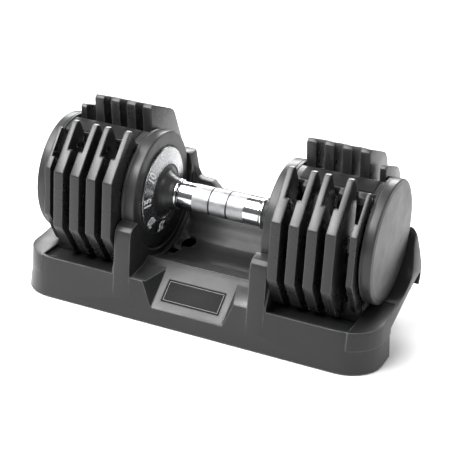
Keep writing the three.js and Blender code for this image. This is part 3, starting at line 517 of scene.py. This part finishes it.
def flange_ring(side, sign):
    x = 0.0451
    inside, outside = x - 0.009, x + 0.0026
    profile = [(inside, BORE_R), (inside, 0.0092), (x, 0.0092), (x, 0.0150), (x + 0.0009, 0.0158),
               (outside, 0.0158), (outside, BORE_R)]
    radii = [0, 0.0004, 0, 0.0005, 0.0008, 0.0008, 0]
    mesh = lathe(mirror_x(filleted(profile, radii), sign), CONE_SIDES)
    new_object(f"grip_ring_{side}", mesh, "chrome", "handle", [f"grip_flange_{side}"])


GRIP_HALF, GRIP_R = 0.0448, 0.01425
KNURL_HALF, GROOVE_AT, GROOVE_HALF = 0.0277, 0.0094, 0.0008
KNURL_DEPTH, KNURL_COUNT, KNURL_PITCH = 0.00030, 44, 0.0021
GROOVE_DEPTH, KNURL_FADE, GRIP_EDGE = 0.0010, 0.0006, 0.0012
SMOOTH_DROP = 0.00012     # the smooth ends lie this far under the knurl's points
GRIP_SIDES, GRIP_BORE_R = 264, 0.0095


def grip_sleeve():
    """Tube with smooth ends and three bands of diamond knurling between turned grooves."""
    sides = GRIP_SIDES
    xs = [-GRIP_HALF, -GRIP_HALF + 0.0003, -GRIP_HALF + 0.0007, -GRIP_HALF + 0.0012]
    xs += list(np.linspace(-GRIP_HALF + 0.003, -KNURL_HALF - 0.0006, 10))
    xs += list(np.linspace(-KNURL_HALF, KNURL_HALF, 160))
    xs += [-x for x in xs[:14]][::-1]
    angles = np.linspace(0, 2 * math.pi, sides, endpoint=False)
    rows = []
    for x in xs:
        gap = min(abs(abs(x) - GROOVE_AT), KNURL_HALF - abs(x))
        end = GRIP_HALF - abs(x)
        base = GRIP_R - SMOOTH_DROP
        if end < GRIP_EDGE:
            base -= GRIP_EDGE - math.sqrt(max(0.0, GRIP_EDGE**2 - (GRIP_EDGE - end) ** 2))
        r = np.full(sides, base)
        if abs(x) < KNURL_HALF and abs(abs(x) - GROOVE_AT) > GROOVE_HALF:
            along = 2 * math.pi * x / KNURL_PITCH
            turn = angles * KNURL_COUNT
            ridge = np.minimum(np.abs(np.sin((turn + along) / 2)), np.abs(np.sin((turn - along) / 2)))
            fade = min(1.0, gap / KNURL_FADE)
            r = GRIP_R - KNURL_DEPTH * (1 - ridge) * fade
        elif abs(x) < KNURL_HALF:
            r = np.full(sides, GRIP_R - GROOVE_DEPTH)
        rows.append([(x, rr * math.cos(a), AXIS_Z + rr * math.sin(a)) for rr, a in zip(r, angles)])
    for x in (GRIP_HALF, 0.0, -GRIP_HALF):
        rows.append([(x, GRIP_BORE_R * math.cos(a), AXIS_Z + GRIP_BORE_R * math.sin(a)) for a in angles])
    verts = [v for row in rows for v in row]
    faces = []
    for i in range(len(rows)):
        j = (i + 1) % len(rows)
        for k in range(sides):
            m = (k + 1) % sides
            faces.append([i * sides + k, i * sides + m, j * sides + m, j * sides + k])
    mesh = fix_normals(mesh_from(verts, faces))
    new_object("grip_knurled", mesh, "chrome", "handle", ["grip_sleeve"], 50)
    mesh.materials.append(MAT["knurl"])
    mesh.materials.append(MAT["dark"])
    for face in mesh.polygons:
        x = abs(face.center.x)
        outside = math.hypot(face.center.y, face.center.z - AXIS_Z) > GRIP_R - 0.0012
        if x < KNURL_HALF and outside:
            face.material_index = 2 if abs(x - GROOVE_AT) < GROOVE_HALF * 0.9 else 1


# ---------- numbers and marks on the dial ----------
NUMERAL_STEP = 40
FIRST_NUMERAL = 12.5     # degrees forward of straight up
NUMERAL_R = 0.0366
NUMERAL_SIZE = 0.0150
NUMERAL_NARROW = 0.74
NUMERALS = 5


def text_mesh(words, size, depth):
    curve = bpy.data.curves.new("words", "FONT")
    curve.body = words
    curve.size = size
    curve.extrude = depth / 2
    curve.offset = size * 0.02
    curve.align_x = "CENTER"
    curve.align_y = "CENTER"
    curve.resolution_u = 4
    obj = bpy.data.objects.new("words", curve)
    bpy.context.scene.collection.objects.link(obj)
    bpy.context.view_layer.update()
    mesh = bpy.data.meshes.new_from_object(obj.evaluated_get(bpy.context.evaluated_depsgraph_get()))
    bpy.data.objects.remove(obj)
    return mesh


def on_dial(mesh, sign, degrees, radius, lift):
    """Stands a flat mesh (in X, Y) on the cone of the dial, its head away from the axis."""
    slope = math.atan2(DIAL_RISE, DIAL_R - DIAL_IN_R)
    angle = math.radians(degrees)
    out = Vector((0, -math.sin(angle), math.cos(angle)))
    face = Vector((-sign, 0, 0))
    share = (DIAL_R - radius) / (DIAL_R - DIAL_IN_R)
    x = DIAL_X - DIAL_RISE * share
    normal = (face * math.cos(slope) + out * math.sin(slope)).normalized()
    head = (out * math.cos(slope) - face * math.sin(slope)).normalized()
    reading = head.cross(normal)
    place = Matrix((reading, head, normal)).transposed().to_4x4()
    place.translation = Vector((sign * x, 0, AXIS_Z)) + out * radius + normal * lift
    mesh.transform(place)
    return mesh


def dial_numbers(side, sign):
    meshes = []
    for i in range(NUMERALS):
        words = text_mesh(str(5 * (i + 1)), NUMERAL_SIZE, 0.00024)
        words.transform(Matrix.Diagonal((NUMERAL_NARROW, 1, 1, 1)))
        meshes.append(on_dial(words, sign, FIRST_NUMERAL + NUMERAL_STEP * i, NUMERAL_R, 0.0001))
    new_object(f"dial_numbers_{side}", merged(meshes), "white", "handle")


def tick_mesh(width, length, depth):
    bm = bmesh.new()
    bmesh.ops.create_cube(bm, size=1, matrix=Matrix.Diagonal((width, length, depth, 1)))
    bmesh.ops.bevel(bm, geom=bm.edges[:], offset=depth * 0.3, segments=2, affect="EDGES", clamp_overlap=True)
    mesh = bpy.data.meshes.new("tick")
    bm.to_mesh(mesh)
    bm.free()
    return mesh


def dial_ticks(side, sign):
    """Short marks at the rim of the dial, one for each number."""
    meshes = []
    for i in range(NUMERALS):
        tick = tick_mesh(0.0007, 0.0016, 0.0002)
        meshes.append(on_dial(tick, sign, FIRST_NUMERAL + NUMERAL_STEP * i, DIAL_R - 0.0026, 0.00008))
    new_object(f"dial_ticks_{side}", merged(meshes), "white", "handle")


def index_mark(side, sign):
    """Dark line on the inner disc that the numbers are read against."""
    angle = math.radians(FIRST_NUMERAL)
    out = Vector((0, -math.sin(angle), math.cos(angle)))
    mesh = tick_mesh(0.0011, 0.0066, 0.00024)
    across = out.cross(Vector((-sign, 0, 0)))
    place = Matrix((across, out, Vector((-sign, 0, 0)))).transposed().to_4x4()
    place.translation = Vector((sign * (DRUM_X + 0.00004), 0, AXIS_Z)) + out * 0.0507
    mesh.transform(place)
    new_object(f"index_mark_{side}", mesh, "dark", "core")


# ---------- printed frame on the front label ----------
FACE_FOOT, FACE_HEAD = Vector((0, -0.0734, 0.0178)), Vector((0, -0.0388, 0.0482))
LABEL_LOW, LABEL_HIGH, LABEL_HALF_X = 0.0102, 0.0338, 0.0308
FRAME_IN, FRAME_WIDTH, FRAME_T = 0.0016, 0.0005, 0.00012


def frame_lines(half_x, half_y):
    """A thin flat rectangle of four bars in the XY plane."""
    bars = []
    for sign in (-1, 1):
        for at, size in (((0, sign * half_y), (2 * half_x + FRAME_WIDTH, FRAME_WIDTH)),
                         ((sign * half_x, 0), (FRAME_WIDTH, 2 * half_y - FRAME_WIDTH))):
            bar = tick_mesh(size[0], size[1], FRAME_T)
            bar.transform(Matrix.Translation((*at, 0)))
            bars.append(bar)
    return merged(bars)


def badge_frame():
    up = (FACE_HEAD - FACE_FOOT).normalized()
    normal = Vector((1, 0, 0)).cross(up)
    mesh = frame_lines(LABEL_HALF_X - FRAME_IN, (LABEL_HIGH - LABEL_LOW) / 2 - FRAME_IN)
    place = Matrix((Vector((1, 0, 0)), up, normal)).transposed().to_4x4()
    place.translation = FACE_FOOT + up * (LABEL_LOW + LABEL_HIGH) / 2 + normal * 0.00012
    mesh.transform(place)
    new_object("badge_frame", mesh, "border", "tray")


# ---------- everything ----------
for side, sign in SIDES.items():
    inner_disc(side, sign)
    outer_disc(side, sign)
    dial_ring(side, sign)
    hub_cone(side, sign)
    flange_ring(side, sign)
    dial_numbers(side, sign)
    dial_ticks(side, sign)
    index_mark(side, sign)
    for letter in "abcde":
        rounded_node(f"weight_plate_{letter}_{side}", "plate", f"plate_{letter}_{side}",
                     0.0014, 3)
    rounded_node(f"bridge_cover_{side}", "disc", "core", 0.0004, 2)
    rounded_node(f"bridge_label_{side}", "label", "core", 0.00015, 2)
    rounded_node(f"plate_rack_{side}", "black", "tray", 0.0004, 2)
    rounded_node(f"unlock_peg_{side}", "black", "tray", 0.0005, 3, 50)
    rounded_node(f"spine_bar_{side}", "steel", "core", 0.0004, 2)
    rounded_node(f"housing_cover_{side}", "black", "core", 0.0004, 2, 40)
    rounded_node(f"lock_bar_{side}", "steel", f"lock_{side}", 0.0003, 2, 40)
    for i in (1, 2, 3):
        rounded_node(f"selector_disc_{i}_{side}", "black", f"selector_{side}", 0.0003, 2, 40)
    rounded_node(f"selector_shaft_{side}", "steel", f"selector_{side}", 0.0004, 2, 40)
grip_sleeve()
badge_frame()
rounded_node("tray_shell", "tray", "tray", 0.0010, 3)
rounded_node("tray_badge_plate", "label", "tray", 0.0003, 2)

LOOK = {"tray_plastic": "tray", "badge": "label", "pad": "rubber", "black_plastic": "black",
        "disc_plastic": "disc", "inner_steel": "steel", "grip_chrome": "chrome", "dial_gloss": "dial",
        "plate_coating": "plate"}
for part in frame["record"]["subparts"]:
    mesh = frame["nodes"][part["node"]].data
    mesh.materials.clear()
    mesh.materials.append(MAT[LOOK[part["material_slot"]]])


# ---------- studio ----------
AIM = Vector((0, 0, 0.1))
FLOOR_HALF = 6.0


def floor():
    corners = [(x * FLOOR_HALF, y * FLOOR_HALF, 0) for x, y in ((-1, -1), (1, -1), (1, 1), (-1, 1))]
    mesh = mesh_from(corners, [[0, 1, 2, 3]])
    n = Nodes("floor_white")
    cloud = n.noise(3, 2, 0.5)
    tone = n.mix(n.mid(cloud), (0.74, 0.74, 0.74), (0.76, 0.76, 0.76))
    n.surface(tone, n.mid(cloud, 0.55, 0.65))
    mesh.materials.append(n.mat)
    obj = bpy.data.objects.new("floor", mesh)
    bpy.context.scene.collection.objects.link(obj)


def softbox(name, at, size_x, size_y, power):
    """A rectangular lamp at a point, turned towards the dumbbell; power in watts."""
    data = bpy.data.lights.new(name, "AREA")
    data.shape = "RECTANGLE"
    data.size, data.size_y = size_x, size_y
    data.energy = power
    obj = bpy.data.objects.new(name, data)
    obj.location = at
    obj.rotation_euler = (AIM - Vector(at)).to_track_quat("-Z", "Y").to_euler()
    bpy.context.scene.collection.objects.link(obj)


floor()
softbox("key", (-0.50, -0.42, 1.35), 1.2, 0.9, 38)
softbox("front_top", (-0.60, -1.04, 1.32), 1.5, 0.34, 30)
softbox("back", (-0.3, 1.5, 0.95), 1.8, 0.6, 46)
softbox("right", (1.5, 0.1, 0.8), 0.5, 0.9, 10)
softbox("left", (-1.5, 0.3, 0.9), 0.5, 0.9, 7)

WORLD_LIGHT = 0.16
world = bpy.data.worlds.new("studio")
world.use_nodes = True
world.node_tree.nodes["Background"].inputs["Color"].default_value = (1, 1, 1, 1)
world.node_tree.nodes["Background"].inputs["Strength"].default_value = WORLD_LIGHT
bpy.context.scene.world = world

bpy.context.scene.view_settings.view_transform = "Standard"
bpy.context.scene.view_settings.look = "None"
